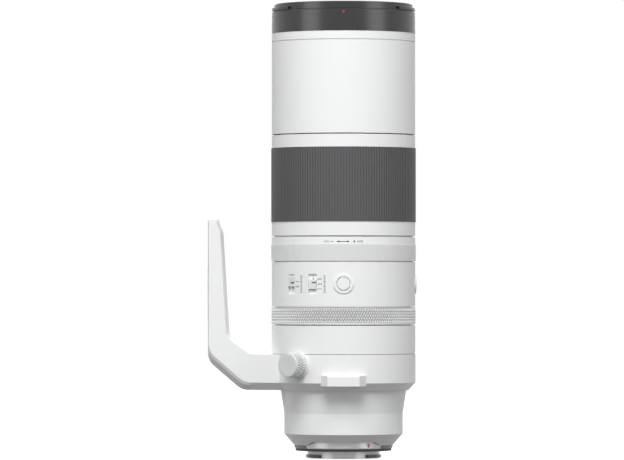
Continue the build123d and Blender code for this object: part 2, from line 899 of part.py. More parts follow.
# Iris: nine thin blades in their own levels, each pinned to the housing, and a ring
# whose slots lead the blades' drive pins
blade_count = 9
iris_plate = 2.2
iris_bore_r = 21.0
iris_wall = 1.6
pivot_r = 31.0
pivot_pin_r = 0.9
pivot_gap = 0.06
pivot_depth = 1.2
blade_thickness = 0.18
blade_pitch = 0.3
blade_bore_r = 24.0
blade_band = 4.6
blade_arc = 75
blade_root_r = 3.0
drive_pin_r = 0.6
drive_arm = 3.8
drive_arm_angle = -66.8
blade_close = 25
ring_turn = 12
ring_thickness = 1.5
ring_bore_r = 26.0
ring_slot_gap = 0.5
blade_floor_z = iris_z + iris_plate
blade_start_z = blade_floor_z + blade_pitch / 2
blade_top_z = blade_start_z + blade_pitch * blade_count
iris_ring_z = blade_top_z + blade_pitch
iris_top_z = iris_ring_z + ring_thickness + body_gap
iris_ring_r = inner_r - iris_wall - body_gap
with BuildPart() as iris_housing:
    turn([
        (iris_bore_r, iris_z),
        (inner_r, iris_z),
        (inner_r, iris_top_z),
        (inner_r - iris_wall, iris_top_z),
        (inner_r - iris_wall, blade_floor_z),
        (iris_bore_r, blade_floor_z),
    ])
    with BuildSketch(Plane.XY.offset(blade_floor_z)) as pivots:
        with PolarLocations(pivot_r, blade_count):
            Circle(pivot_pin_r + pivot_gap)
    extrude(pivots.sketch, amount=-pivot_depth - pivot_gap, mode=Mode.SUBTRACT)
finish(iris_housing.part, "iris_housing")

pivot = Vector(pivot_r, 0, 0)
arm = Vector(drive_arm, 0, 0).rotate(Axis.Z, drive_arm_angle)
pin_open = pivot + arm
pin_closed = (pivot + arm.rotate(Axis.Z, blade_close)).rotate(Axis.Z, -ring_turn)
for index in range(blade_count):
    blade_z = blade_start_z + blade_pitch * index
    with BuildPart() as blade:
        sector(
            blade_bore_r,
            blade_bore_r + blade_band,
            blade_z,
            blade_z + blade_thickness,
            blade_arc / 2,
            blade_arc,
        )
        for centre, radius, rise, fall in (
            (pivot, blade_root_r, blade_thickness, 0),
            (pin_open, 2 * drive_pin_r, blade_thickness, 0),
            (pivot, pivot_pin_r, blade_thickness, blade_z - blade_floor_z + pivot_depth),
            (pin_open, drive_pin_r, iris_top_z - body_gap - blade_z, 0),
        ):
            base = Plane(origin=centre + Vector(0, 0, blade_z - fall))
            rod(base, radius, rise + fall)
    turned = blade.part.rotate(Axis.Z, 360 * index / blade_count)
    finish(turned, f"iris_blade_{index + 1}")

with BuildPart() as iris_ring:
    tube(ring_bore_r, iris_ring_r, iris_ring_z, iris_ring_z + ring_thickness)
    with BuildSketch(Plane.XY.offset(iris_ring_z)) as pin_slots:
        with PolarLocations(0, blade_count):
            with Locations((pin_open + pin_closed) / 2):
                SlotOverall(
                    (pin_closed - pin_open).length + 2 * (drive_pin_r + ring_slot_gap),
                    2 * (drive_pin_r + ring_slot_gap),
                    rotation=Vector(1, 0, 0).get_signed_angle(pin_closed - pin_open, Vector(0, 0, 1)),
                )
    extrude(pin_slots.sketch, amount=ring_thickness, mode=Mode.SUBTRACT)
finish(iris_ring.part, "iris_ring")

# Stabilizer: a base plate, two crossed stages and a lens
stage_gap = 0.4
stage_thickness = 2.4
stage_r = 35.0
stage_bore_r = 21.0
holder_r = 27.0
holder_thickness = 4.5
stabilizer_glass_r = 17.0
stabilizer_shift = 1.0
stabilizer_lens_thickness = 3.6
stabilizer_lens_sag = 1.0
stage_z = iris_top_z + stage_thickness + stage_gap
holder_z = stage_z + stage_thickness + stage_gap
with BuildPart() as stabilizer_base:
    tube(stage_bore_r, inner_r, iris_top_z, iris_top_z + stage_thickness)
finish(stabilizer_base.part, "stabilizer_base")

with BuildPart() as stabilizer_stage:
    tube(stage_bore_r, stage_r, stage_z, stage_z + stage_thickness)
finish(stabilizer_stage.part, "stabilizer_stage")

with BuildPart() as stabilizer_holder:
    tube(stabilizer_glass_r, holder_r, holder_z, holder_z + holder_thickness)
finish(stabilizer_holder.part, "stabilizer_holder")

with BuildPart() as stabilizer_lens:
    lens_z = holder_z + holder_thickness / 2 - stabilizer_lens_thickness / 2
    element(
        stabilizer_glass_r - glass_gap,
        lens_z,
        lens_z + stabilizer_lens_thickness,
        stabilizer_lens_sag,
        stabilizer_lens_sag,
    )
finish(stabilizer_lens.part, "stabilizer_lens")

# Tripod collar: a ring, an L-shaped foot with two threaded inserts, and a knob boss
collar_chamfer_width = 4.5
collar_chamfer_rise = 5.3
foot_face_r = 95.65
foot_land = 0.25
foot_land_width = 22.0
foot_land_length = 36.5
foot_land_z = 108.9
foot_width = 33.0
foot_tip_z = 162.7
foot_tip_thickness = 6.8
foot_shoulder_thickness = 10.4
foot_shoulder_z = 152.8
foot_heel_thickness = 14.8
foot_heel_z = 78.6
foot_arm_r = 64.4
foot_sole_r = 71.5
foot_sole_z = 62.5
foot_bevel_depth = 5.0
foot_bevel_break = 1.2
foot_bevel_share = 0.62
outer_bevel = 0.8
tip_bevel = 0.8
inner_bevel = 1.8
top_bevel = 1.0
flare_reach = 66.0
flare_half = 24.0
tip_outer_fillet = 2.4
tip_inner_fillet = 2.0
shoulder_fillet = 9.0
heel_fillet = 9.0
arm_fillet = 6.0
sole_fillet = 12.0
knob_angle = -129
knob_z = 59.6
boss_r = 9.6
boss_height = 1.0
knob_r = 8.85
knob_length = 10.6
knob_cap_height = 1.2
knob_cap_r = 8.45
knob_rib_count = 36
knob_groove_depth = 0.4
knob_groove_width = 0.7
stud_r = 3.0
stud_gap = 0.05
stud_depth = 4.0
shoe_r = 5.5
shoe_gap = 0.1
shoe_height = 2.5
shoe_lift = 0.4
insert_wall = 1.6
insert_depth = 9.0
insert_floor = 1.0
quarter_thread_r = 3.175
quarter_thread_z = 97.0
three_eighths_thread_r = 4.7625
three_eighths_thread_z = 121.0
lug_z = 45.0
lug_height = 7.5
lug_root_half = 15.85
lug_front_half = 11.15
lug_stand = 5.1
lug_slot_width = 16.0
lug_slot_gap = 1.9
lug_wall = 1.7
lug_fillet = 1.2
insert_places = {
    quarter_thread_r: quarter_thread_z,
    three_eighths_thread_r: three_eighths_thread_z,
}
collar_chamfer_r = collar_r - collar_chamfer_width
lug_reach = collar_r + lug_stand
boss_face_r = collar_r + boss_height
knob_face_r = boss_face_r + body_gap + knob_length
collar_bore_r = collar_seat_r + bearing_gap
knob_back_r = boss_face_r + body_gap
shoe_top_r = collar_seat_r + shoe_gap + shoe_height
stud_tip_r = shoe_top_r + shoe_lift + stud_gap
shoe_pocket_r = shoe_r + shoe_gap
flare_r = (collar_r**2 - flare_half**2) ** (1 / 2)
# Corners of the foot's side view, each with its rounding and the bevel of the side that follows
foot_points = [
    ((-foot_face_r, foot_tip_z), tip_outer_fillet, tip_bevel),
    ((foot_tip_thickness - foot_face_r, foot_tip_z), tip_inner_fillet, inner_bevel),
    ((foot_shoulder_thickness - foot_face_r, foot_shoulder_z), shoulder_fillet, inner_bevel),
    ((foot_heel_thickness - foot_face_r, foot_heel_z), heel_fillet, top_bevel),
    ((-foot_arm_r, collar_top_z), arm_fillet, top_bevel),
    ((-collar_seat_r, collar_top_z), 0, 0),
    ((-collar_seat_r, collar_z), 0, collar_chamfer_rise),
    ((-foot_sole_r, collar_z), sole_fillet, collar_chamfer_rise),
    ((-foot_face_r, foot_sole_z), sole_fillet, outer_bevel),
]
# Corners of the foot's root from above, where it widens into the ring
flare_points = [
    ((-flare_reach, foot_width / 2), 0, collar_chamfer_width),
    ((-flare_r, flare_half), 0, collar_chamfer_width),
    ((0, flare_half), 0, 0),
    ((0, -flare_half), 0, collar_chamfer_width),
    ((-flare_r, -flare_half), 0, collar_chamfer_width),
    ((-flare_reach, -foot_width / 2), 0, 0),
]
foot_bevels = [
    (side * (foot_width / 2 - depth), share)
    for side in (-1, 1)
    for depth, share in [
        (0, 1),
        (foot_bevel_break, foot_bevel_share),
        (foot_bevel_depth, 0),
    ][::-side]
]


def inset(points, share):
    """Corners of a clockwise outline with each side moved inwards by this share of its bevel."""
    corners = []
    for index, (corner, radius, bevel) in enumerate(points):
        before, after = points[index - 1], points[(index + 1) % len(points)]
        come = (Vector(*corner) - Vector(*before[0])).normalized()
        go = (Vector(*after[0]) - Vector(*corner)).normalized()
        turned = come.X * go.Y - come.Y * go.X
        along = share * (bevel - before[2] * come.dot(go)) / turned
        inwards = Vector(come.Y, -come.X) * share * before[2]
        corners.append(Vector(*corner) + inwards + come * along)
    return corners


with BuildPart() as tripod_collar:
    for depth, share in foot_bevels:
        corners = inset(foot_points, share)
        with BuildSketch(Plane.XZ.offset(depth)) as section:
            with BuildLine():
                Polyline(*corners, close=True)
            make_face()
            for corner, (place, radius, bevel) in zip(corners, foot_points):
                if radius:
                    fillet(section.vertices().sort_by_distance(corner)[0], radius)
    loft(ruled=True)
    for height, share in (
        (collar_z, 1),
        (collar_z + collar_chamfer_rise, 0),
        (collar_top_z, 0),
    ):
        with BuildSketch(Plane.XY.offset(height)):
            with BuildLine():
                Polyline(*inset(flare_points, share), close=True)
            make_face()
    loft(ruled=True)
    bar(facing(180, foot_face_r, foot_land_z), foot_land_width, foot_land_length, foot_land)
    turn([
        (collar_seat_r, collar_z),
        (collar_chamfer_r, collar_z),
        (collar_r, collar_z + collar_chamfer_rise),
        (collar_r, collar_top_z),
        (collar_seat_r, collar_top_z),
    ])
    rod(facing(knob_angle, collar_seat_r, knob_z), boss_r, boss_face_r - collar_seat_r)
    tube(0, collar_bore_r, collar_z - overrun, knob_z + boss_r + overrun, Mode.SUBTRACT)
    tube(
        0, barrel_r + body_gap, collar_top_z, knob_z + boss_r + overrun, Mode.SUBTRACT
    )
    rod(
        facing(knob_angle, collar_seat_r - overrun, knob_z),
        shoe_pocket_r,
        stud_tip_r + shoe_gap - collar_seat_r + overrun,
        Mode.SUBTRACT,
    )
    rod(
        facing(knob_angle, collar_seat_r, knob_z),
        stud_r + stud_gap,
        boss_face_r - collar_seat_r,
        Mode.SUBTRACT,
    )
    for bore, height in insert_places.items():
        face = facing(180, foot_face_r + foot_land, height)
        rod(face, bore + insert_wall, -insert_depth, Mode.SUBTRACT)
finish(tripod_collar.part, "tripod_collar")

with BuildPart() as foot_inserts:
    for bore, height in insert_places.items():
        face = facing(180, foot_face_r + foot_land, height)
        rod(face, bore + insert_wall, -insert_depth)
        rod(face, bore, insert_floor - insert_depth, Mode.SUBTRACT)
finish(foot_inserts.part, "foot_inserts")

with BuildPart() as strap_lugs:
    root_depth = (collar_r**2 - lug_root_half**2) ** (1 / 2)
    for side in (-1, 1):
        with BuildSketch(Plane.XY.offset(lug_z)) as lug_plan:
            with BuildLine():
                Polyline(
                    (-lug_root_half, side * root_depth),
                    (-lug_front_half, side * lug_reach),
                    (lug_front_half, side * lug_reach),
                    (lug_root_half, side * root_depth),
                    close=True,
                )
            make_face()
            with Locations((0, side * (lug_reach - lug_wall - lug_slot_gap / 2))):
                RectangleRounded(
                    lug_slot_width, lug_slot_gap, lug_slot_gap / 3, mode=Mode.SUBTRACT
                )
        extrude(lug_plan.sketch, amount=lug_height)
    front_edges = strap_lugs.edges().filter_by(Axis.X).group_by(Axis.Z)[-1].sort_by(Axis.Y)
    fillet((front_edges[0], front_edges[-1]), lug_fillet)
    tube(0, collar_r, lug_z - overrun, lug_z + lug_height + overrun, Mode.SUBTRACT)
finish(strap_lugs.part, "strap_lugs")

# Lock knob, its stud and the shoe that grips the rear barrel
with BuildPart() as lock_knob:
    with BuildSketch(facing(knob_angle, knob_back_r, knob_z)) as knob_section:
        Circle(knob_r)
        with PolarLocations(knob_r, knob_rib_count):
            Rectangle(2 * knob_groove_depth, knob_groove_width, mode=Mode.SUBTRACT)
    extrude(knob_section.sketch, amount=knob_face_r - knob_cap_height - knob_back_r)
    rod(facing(knob_angle, knob_back_r, knob_z), knob_cap_r, knob_face_r - knob_back_r)
    rod(facing(knob_angle, knob_back_r, knob_z), stud_r, stud_depth, Mode.SUBTRACT)
finish(lock_knob.part, "lock_knob")

with BuildPart() as knob_stud:
    rod(facing(knob_angle, stud_tip_r, knob_z), stud_r, knob_back_r + stud_depth - stud_tip_r)
finish(knob_stud.part, "knob_stud")

with BuildPart() as clamp_shoe:
    rod(facing(knob_angle, rear_bore_r, knob_z), shoe_r, shoe_top_r - rear_bore_r)
    tube(0, collar_seat_r + shoe_gap, knob_z - boss_r, knob_z + boss_r, Mode.SUBTRACT)
finish(clamp_shoe.part, "clamp_shoe")
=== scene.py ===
import json
from math import atan, cos, pi, radians, sin, sqrt

import bmesh
import bpy
from bpy.props import FloatProperty, FloatVectorProperty, IntProperty, PointerProperty
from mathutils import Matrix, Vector


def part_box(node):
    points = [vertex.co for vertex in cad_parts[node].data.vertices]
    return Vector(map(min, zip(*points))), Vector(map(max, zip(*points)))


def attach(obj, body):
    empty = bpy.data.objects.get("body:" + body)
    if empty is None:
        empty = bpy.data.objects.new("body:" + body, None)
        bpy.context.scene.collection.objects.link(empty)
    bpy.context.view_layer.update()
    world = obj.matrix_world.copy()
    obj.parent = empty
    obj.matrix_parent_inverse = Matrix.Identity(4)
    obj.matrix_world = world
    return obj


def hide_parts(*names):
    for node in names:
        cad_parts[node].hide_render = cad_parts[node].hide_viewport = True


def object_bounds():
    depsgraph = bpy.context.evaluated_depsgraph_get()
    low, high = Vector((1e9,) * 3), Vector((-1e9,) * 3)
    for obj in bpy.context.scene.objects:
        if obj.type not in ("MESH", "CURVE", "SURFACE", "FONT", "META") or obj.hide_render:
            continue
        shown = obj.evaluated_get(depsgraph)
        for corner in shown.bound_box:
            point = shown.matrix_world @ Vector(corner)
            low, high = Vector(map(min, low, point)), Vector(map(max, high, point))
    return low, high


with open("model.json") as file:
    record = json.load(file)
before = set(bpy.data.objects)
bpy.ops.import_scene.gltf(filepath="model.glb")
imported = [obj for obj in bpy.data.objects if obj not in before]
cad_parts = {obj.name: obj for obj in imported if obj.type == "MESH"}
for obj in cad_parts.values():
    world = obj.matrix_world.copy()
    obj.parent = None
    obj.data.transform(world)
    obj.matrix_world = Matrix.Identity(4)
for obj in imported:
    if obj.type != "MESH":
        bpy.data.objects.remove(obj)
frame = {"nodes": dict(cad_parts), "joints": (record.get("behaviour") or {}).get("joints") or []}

bl_info = {
    "name": "Telephoto Zoom Lens Looks",
    "version": (1, 0, 0),
    "blender": (4, 5, 0),
    "location": "3D View > Sidebar > Zoom Lens",
    "description": "Finishes, knurling, markings and studio for a long white zoom lens",
    "category": "Object",
}

CAD_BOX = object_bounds()
MM = 0.001
FRONT = -90.0  # the side of the switches, in degrees round from +X
IMAGE_WIDTH = 624
# the lift also sets the painted shade of a knurl's valleys
LIFT_LAYER = "lift"  # how high a point of a knurl stands: 0 in a valley, 1 on a peak


def outer_r(node):
    """The outer radius of a CAD node that is round about the optical axis."""
    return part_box(node)[1][0]


def height_range(node):
    """The lowest and the highest Z of a CAD node."""
    low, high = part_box(node)
    return low[2], high[2]


def joint_with(key, value):
    """The first joint of the frame that has this value under this key."""
    return next(joint for joint in frame["joints"] if joint[key] == value)


# Sizes and colours that a user would change


def colour(name, description, value):
    """A colour property with its own default."""
    return FloatVectorProperty(
        name=name, description=description, subtype="COLOR", size=3, min=0, max=1, default=value
    )


def length(name, description, value):
    """A length property, in metres."""
    return FloatProperty(
        name=name, description=description, subtype="DISTANCE", unit="LENGTH", default=value
    )


def power(name, description, value):
    """A lamp's power, in watts."""
    return FloatProperty(
        name=name, description=description, subtype="POWER", unit="POWER", default=value, min=0
    )


def count(name, description, value, least):
    """A whole number with its least value."""
    return IntProperty(name=name, description=description, default=value, min=least)


class LensFinishSettings(bpy.types.PropertyGroup):
    """Colours of the lens's finishes."""

    white: colour("White paint", "Colour of the barrel's paint", (0.86, 0.865, 0.87))
    knurl_white: colour("Knurled white", "Colour of the knurled rings", (0.84, 0.845, 0.85))
    serration_white: colour("Tension ring", "Colour of the serrated ring", (0.74, 0.745, 0.75))
    rubber: colour("Rubber", "Colour of the zoom grip", (0.078, 0.078, 0.081))
    black: colour("Black", "Colour of the front band", (0.007, 0.007, 0.0075))
    # painted shade: the grey of the band that stands for the shade on the rim's downward face
    rim_shade_grey: colour("Rim band", "Colour of the band round the mount", (0.13, 0.133, 0.14))
    mount_metal: colour("Mount metal", "Colour of the bayonet mount", (0.35, 0.35, 0.355))
    steel: colour("Steel", "Colour of screws, rods and inserts", (0.52, 0.52, 0.53))
    brass: colour("Brass", "Colour of the rollers", (0.60, 0.42, 0.17))
    gold: colour("Gold", "Colour of the contact pins", (0.80, 0.56, 0.22))
    board_green: colour("Board", "Colour of the circuit boards", (0.02, 0.12, 0.05))
    blade_black: colour("Blades", "Colour of the iris blades", (0.012, 0.012, 0.013))
    coating: colour("Coating", "Tint of the front glass", (0.30, 0.38, 0.36))
    print_ink: colour("Print", "Colour of the printed marks", (0.035, 0.035, 0.037))
    index_red: colour("Index red", "Colour of the index marks", (0.50, 0.01, 0.03))


class LensKnurlSettings(bpy.types.PropertyGroup):
    """Sizes of the knurled surfaces."""

    ring_diamonds: count("Ring diamonds", "Diamonds round the control ring", 172, 24)
    ring_rows: count("Ring rows", "Rows of diamonds on the control ring", 3, 2)
    ring_depth: length("Ring depth", "Depth of the control ring's knurl", 0.0010)
    knob_diamonds: count("Knob diamonds", "Diamonds round the lock knob", 30, 12)
    knob_rows: count("Knob rows", "Rows of diamonds on the lock knob", 2, 2)
    knob_depth: length("Knob depth", "Depth of the lock knob's knurl", 0.0007)


class LensMarkSettings(bpy.types.PropertyGroup):
    """Sizes of the printed marks."""

    ink_height: length("Ink height", "How far a printed mark stands out", 0.00003)
    arrow_length: length("Arrow length", "Length of the tension ring's arrow", 0.0098)
    numeral_size: length("Numeral size", "Height of the numerals by the switches", 0.0024)
    front_dot: length("Front dot", "Diameter of the red dot for the hood", 0.0018)


class LensStageSettings(bpy.types.PropertyGroup):
    """Camera and light of the studio."""

    camera_distance: length("Camera distance", "From the camera to the optical axis", 3.43)
    camera_height: length("Camera height", "Height of the camera above the mount", 0.11355)
    aim_x: length("Aim across", "Where the camera aims, across", -0.02229)
    aim_z: length("Aim up", "Where the camera aims, above the mount", 0.15459)
    pixel_size: length("Pixel size", "What one pixel covers at the optical axis", 0.0007075)
    side_power: power("Side lights", "Power of each side softbox", 9.5)
    top_power: power("Top light", "Power of the overhead softbox", 55.0)
    back_power: power("Back light", "Power of the softbox behind", 24.0)
    fill_level: FloatProperty(
        name="Fill", description="Strength of the plain light from all round", default=0.10, min=0
    )


# Node helpers


def math_node(tree, operation, first, second):
    """A Math node whose two inputs are sockets or plain values; gives its output socket."""
    node = tree.nodes.new("ShaderNodeMath")
    node.operation = operation
    for index, value in enumerate((first, second)):
        if isinstance(value, bpy.types.NodeSocket):
            tree.links.new(value, node.inputs[index])
        else:
            node.inputs[index].default_value = value
    return node.outputs[0]


def noise_node(tree, dimensions="3D", **values):
    """A Noise Texture node with its own values."""
    node = tree.nodes.new("ShaderNodeTexNoise")
    node.noise_dimensions = dimensions
    for label, value in values.items():
        node.inputs[label].default_value = value
    return node


def object_place(tree):
    """The socket with the object's own coordinates."""
    return tree.nodes.new("ShaderNodeTexCoord").outputs["Object"]


def object_axes(tree):
    """The sockets X, Y and Z of the object's own coordinates."""
    axes = tree.nodes.new("ShaderNodeSeparateXYZ")
    tree.links.new(object_place(tree), axes.inputs[0])
    return axes.outputs


# Node groups that several finishes share


def new_group(name, inputs, outputs):
    """A new shader node group with named sockets, and its input and output nodes."""
    tree = bpy.data.node_groups.new(name, "ShaderNodeTree")
    for label, default in inputs:
        socket = tree.interface.new_socket(label, in_out="INPUT", socket_type="NodeSocketFloat")
        socket.default_value = default
    for label in outputs:
        tree.interface.new_socket(label, in_out="OUTPUT", socket_type="NodeSocketFloat")
    return tree, tree.nodes.new("NodeGroupInput"), tree.nodes.new("NodeGroupOutput")


def build_fine_texture(name):
    """Fine grain for paint and moulded plastic: a height, and a slow change of tone."""
    tree, given, result = new_group(
        name, (("Grain per metre", 2400.0), ("Tone change", 0.02)), ("Height", "Tone")
    )
    place = object_place(tree)
    grain = noise_node(tree, Detail=3.0, Roughness=0.6)
    slow = noise_node(tree, Scale=28.0)
    tree.links.new(place, grain.inputs["Vector"])
    tree.links.new(place, slow.inputs["Vector"])
    tree.links.new(given.outputs["Grain per metre"], grain.inputs["Scale"])
    tree.links.new(grain.outputs["Fac"], result.inputs["Height"])
    centred = math_node(tree, "SUBTRACT", slow.outputs["Fac"], 0.5)
    scaled = math_node(tree, "MULTIPLY", centred, given.outputs["Tone change"])
    tree.links.new(math_node(tree, "ADD", scaled, 1.0), result.inputs["Tone"])


def build_turned_lines(name):
    """Fine lathe lines round the optical axis: a height and a slower mask, both along Z."""
    tree, given, result = new_group(name, (("Lines per metre", 2600.0),), ("Height", "Mask"))
    turns = math_node(
        tree, "MULTIPLY", object_axes(tree)["Z"], given.outputs["Lines per metre"]
    )
    line = noise_node(tree, "1D", Scale=1.0, Detail=2.0)
    wide = noise_node(tree, "1D", Scale=0.2)
    for node, label in ((line, "Height"), (wide, "Mask")):
        tree.links.new(turns, node.inputs["W"])
        tree.links.new(node.outputs["Fac"], result.inputs[label])


def build_dust(name):
    """Faint dust and rubbing, as a mask that changes over the surface."""
    tree, given, result = new_group(name, (("Amount", 0.3),), ("Mask",))
    cloud = noise_node(tree, Scale=90.0, Detail=6.0)
    tree.links.new(object_place(tree), cloud.inputs["Vector"])
    lifted = math_node(tree, "SUBTRACT", cloud.outputs["Fac"], 0.45)
    strong = math_node(tree, "MULTIPLY", lifted, given.outputs["Amount"])
    tree.links.new(math_node(tree, "MAXIMUM", strong, 0.0), result.inputs["Mask"])


GROUP_BUILDERS = {
    "Fine Texture": build_fine_texture,
    "Turned Lines": build_turned_lines,
    "Dust": build_dust,
}


def place_group(tree, name, **values):
    """A shared group placed in a material, with this material's own values."""
    if name not in bpy.data.node_groups:
        GROUP_BUILDERS[name](name)
    node = tree.nodes.new("ShaderNodeGroup")
    node.node_tree = bpy.data.node_groups[name]
    for label, value in values.items():
        node.inputs[label.replace("_", " ")].default_value = value
    return node


# Finishes

SLOW_TONE = 0.02  # how far the colour of paint and plastic drifts
DUST_AMOUNT = 0.5
DUST_ROUGHNESS = 0.3
LATHE_ROUGHNESS = 0.12
MIX_FACTOR, MIX_A, MIX_B, MIX_RESULT = 0, 6, 7, 2  # the sockets of a colour Mix node


def new_finish(name, base, roughness, **sockets):
    """A material with a Principled shader; gives the material, its tree and the shader."""
    finish = bpy.data.materials.new(name)
    finish.use_nodes = True
    shader = finish.node_tree.nodes["Principled BSDF"]
    shader.inputs["Base Color"].default_value = (*base, 1.0)
    shader.inputs["Roughness"].default_value = roughness
    for label, value in sockets.items():
        shader.inputs[label.replace("_", " ")].default_value = value
    return finish, finish.node_tree, shader


def bump(tree, shader, height, distance):
    """Feed a height to the shader's normal through a Bump node."""
    node = tree.nodes.new("ShaderNodeBump")
    node.inputs["Strength"].default_value = 1.0
    node.inputs["Distance"].default_value = distance
    tree.links.new(height, node.inputs["Height"])
    tree.links.new(node.outputs["Normal"], shader.inputs["Normal"])


def toned(tree, shader, base, tone):
    """Let a tone change the base colour; gives the node that scales it."""
    scale = tree.nodes.new("ShaderNodeVectorMath")
    scale.operation = "SCALE"
    scale.inputs[0].default_value = base
    tree.links.new(tone, scale.inputs["Scale"])
    tree.links.new(scale.outputs["Vector"], shader.inputs["Base Color"])
    return scale


def roughened(tree, shader, base, mask, amount):
    """Let a mask raise the roughness from its base value."""
    extra = math_node(tree, "MULTIPLY", mask, amount)
    tree.links.new(math_node(tree, "ADD", extra, base), shader.inputs["Roughness"])


def add_grain(tree, shader, roughness, grain, depth, tone=SLOW_TONE):
    """Fine grain in the normal and dust in the roughness; gives the slow tone's socket."""
    texture = place_group(tree, "Fine Texture", Grain_per_metre=grain, Tone_change=tone)
    dust = place_group(tree, "Dust", Amount=DUST_AMOUNT)
    bump(tree, shader, texture.outputs["Height"], depth)
    roughened(tree, shader, roughness, dust.outputs["Mask"], DUST_ROUGHNESS)
    return texture.outputs["Tone"]


def grained_finish(name, base, roughness, grain, depth, tone=SLOW_TONE, **sockets):
    """Paint, plastic, rubber or ink, with fine grain and a slow tone."""
    finish, tree, shader = new_finish(name, base, roughness, **sockets)
    toned(tree, shader, base, add_grain(tree, shader, roughness, grain, depth, tone))
    return finish


def banded_finish(name, lower, upper, split, roughness, grain, depth):
    """A grained finish whose colour changes at a height of the object."""
    finish, tree, shader = new_finish(name, lower, roughness)
    scale = toned(tree, shader, lower, add_grain(tree, shader, roughness, grain, depth))
    above = math_node(tree, "GREATER_THAN", object_axes(tree)["Z"], split)
    blend = tree.nodes.new("ShaderNodeMix")
    blend.data_type = "RGBA"
    blend.inputs[MIX_A].default_value = (*lower, 1.0)
    blend.inputs[MIX_B].default_value = (*upper, 1.0)
    tree.links.new(above, blend.inputs[MIX_FACTOR])
    tree.links.new(blend.outputs[MIX_RESULT], scale.inputs[0])
    return finish


def knurled_finish(name, base, roughness, grain, depth, valley):
    """A grained finish with painted shade in its valleys, as dark as the mesh's own lift says."""
    finish, tree, shader = new_finish(name, base, roughness)
    add_grain(tree, shader, roughness, grain, depth)
    lift = tree.nodes.new("ShaderNodeAttribute")
    lift.attribute_name = LIFT_LAYER
    lift.attribute_type = "GEOMETRY"
    # painted shade: where the lift is 0 the colour falls to the valley share of itself
    risen = math_node(tree, "MULTIPLY", lift.outputs["Fac"], 1 - valley)
    toned(tree, shader, base, math_node(tree, "ADD", risen, valley))
    return finish


def turned_finish(name, base, roughness, lines, depth, **sockets):
    """Turned metal: lathe lines in the normal and the roughness."""
    finish, tree, shader = new_finish(name, base, roughness, **sockets)
    lathe = place_group(tree, "Turned Lines", Lines_per_metre=lines)
    texture = place_group(tree, "Fine Texture", Grain_per_metre=900.0, Tone_change=0.05)
    bump(tree, shader, lathe.outputs["Height"], depth)
    toned(tree, shader, base, texture.outputs["Tone"])
    roughened(tree, shader, roughness, lathe.outputs["Mask"], LATHE_ROUGHNESS)
    return finish


def mount_finish(name, base):
    """Brushed metal with a painted dark reflection on the claws, beyond the spigot and below the
    face.
    """
    spigot_r, claw_top, claw_shade = 25.7 * MM, -2 * MM, 0.8
    finish = turned_finish(
        name, base, roughness=0.30, lines=3200.0, depth=0.000006,
        Metallic=1.0, Anisotropic=0.8, Anisotropic_Rotation=0.25,
    )
    tree = finish.node_tree
    axes = object_axes(tree)
    square = math_node(
        tree, "ADD",
        math_node(tree, "MULTIPLY", axes["X"], axes["X"]),
        math_node(tree, "MULTIPLY", axes["Y"], axes["Y"]),
    )
    outside = math_node(tree, "GREATER_THAN", square, spigot_r ** 2)
    below = math_node(tree, "LESS_THAN", axes["Z"], claw_top)
    claw = math_node(tree, "MULTIPLY", outside, below)
    shade = math_node(tree, "MULTIPLY", claw, claw_shade)
    toned(
        tree, tree.nodes["Principled BSDF"], base, math_node(tree, "SUBTRACT", 1.0, shade)
    )
    return finish


def glass_finish(name, tint):
    """Coated optical glass: clear, with a tinted reflection."""
    finish, tree, shader = new_finish(
        name, tint, 0.02, Transmission_Weight=1.0, IOR=1.5,
        Coat_Weight=0.6, Coat_Roughness=0.02, Coat_Tint=(0.55, 0.85, 0.75, 1.0),
    )
    texture = place_group(tree, "Fine Texture", Grain_per_metre=60.0, Tone_change=0.06)
    toned(tree, shader, tint, texture.outputs["Tone"])
    return finish


def make_finishes(settings):
    """Make all the finishes, under the names that NODE_FINISHES and the operators use."""
    white, black = tuple(settings.white), tuple(settings.black)
    steel, brass, gold = tuple(settings.steel), tuple(settings.brass), tuple(settings.gold)
    smooth_band = 5.2 * MM  # at the front of the tension ring

    # name, colour, roughness, grain per metre, depth of the grain
    grained_finish("White Paint", white, 0.42, 3200.0, 0.00004, IOR=1.3)
    grained_finish("White Plastic", white, 0.44, 4200.0, 0.00003, IOR=1.3)
    grained_finish("White Button", white, 0.30, 2600.0, 0.000008)
    grained_finish("Grip Rubber", tuple(settings.rubber), 0.62, 2600.0, 0.00005, tone=0.10)
    # painted shade: a dark grey band round the mount's rim, where its downward face lies in shade
    grained_finish("Rim Shade Band", tuple(settings.rim_shade_grey), 0.4, 3600.0, 0.00003)
    grained_finish("Seal Rubber", black, 0.6, 2600.0, 0.00004)
    grained_finish("Black Plastic", black, 0.45, 3600.0, 0.00003)
    grained_finish("Circuit Board", tuple(settings.board_green), 0.35, 700.0, 0.00004)
    grained_finish("Printed Ink", tuple(settings.print_ink), 0.5, 3600.0, 0.00001, tone=0.2)
    grained_finish("Index Enamel", tuple(settings.index_red), 0.3, 2600.0, 0.00001, tone=0.1)
    # painted shade in the knurls' valleys, down to 0.58 of the colour
    knurled_finish(
        "Knurled White", tuple(settings.knurl_white), 0.42, 3200.0, 0.00002, valley=0.58
    )
    banded_finish(
        "Tension Ring White", tuple(settings.serration_white), white,
        height_range("tension_ring")[1] - smooth_band, 0.42, 3600.0, 0.00003,
    )

    # name, colour, roughness, lathe lines per metre, depth of the lines
    turned_finish("Front Black", black, 0.20, 2600.0, 0.00002, IOR=1.6)
    turned_finish("Inner Black", black, 0.5, 1800.0, 0.00004)
    turned_finish("Iris Blade", tuple(settings.blade_black), 0.4, 900.0, 0.00001)
    turned_finish("Steel", steel, 0.28, 2600.0, 0.00002, Metallic=1.0)
    turned_finish("Roller Brass", brass, 0.3, 2600.0, 0.00002, Metallic=1.0)
    turned_finish("Pin Gold", gold, 0.2, 2600.0, 0.00001, Metallic=1.0)

    mount_finish("Mount Metal", tuple(settings.mount_metal))
    glass_finish("Lens Glass", tuple(settings.coating))


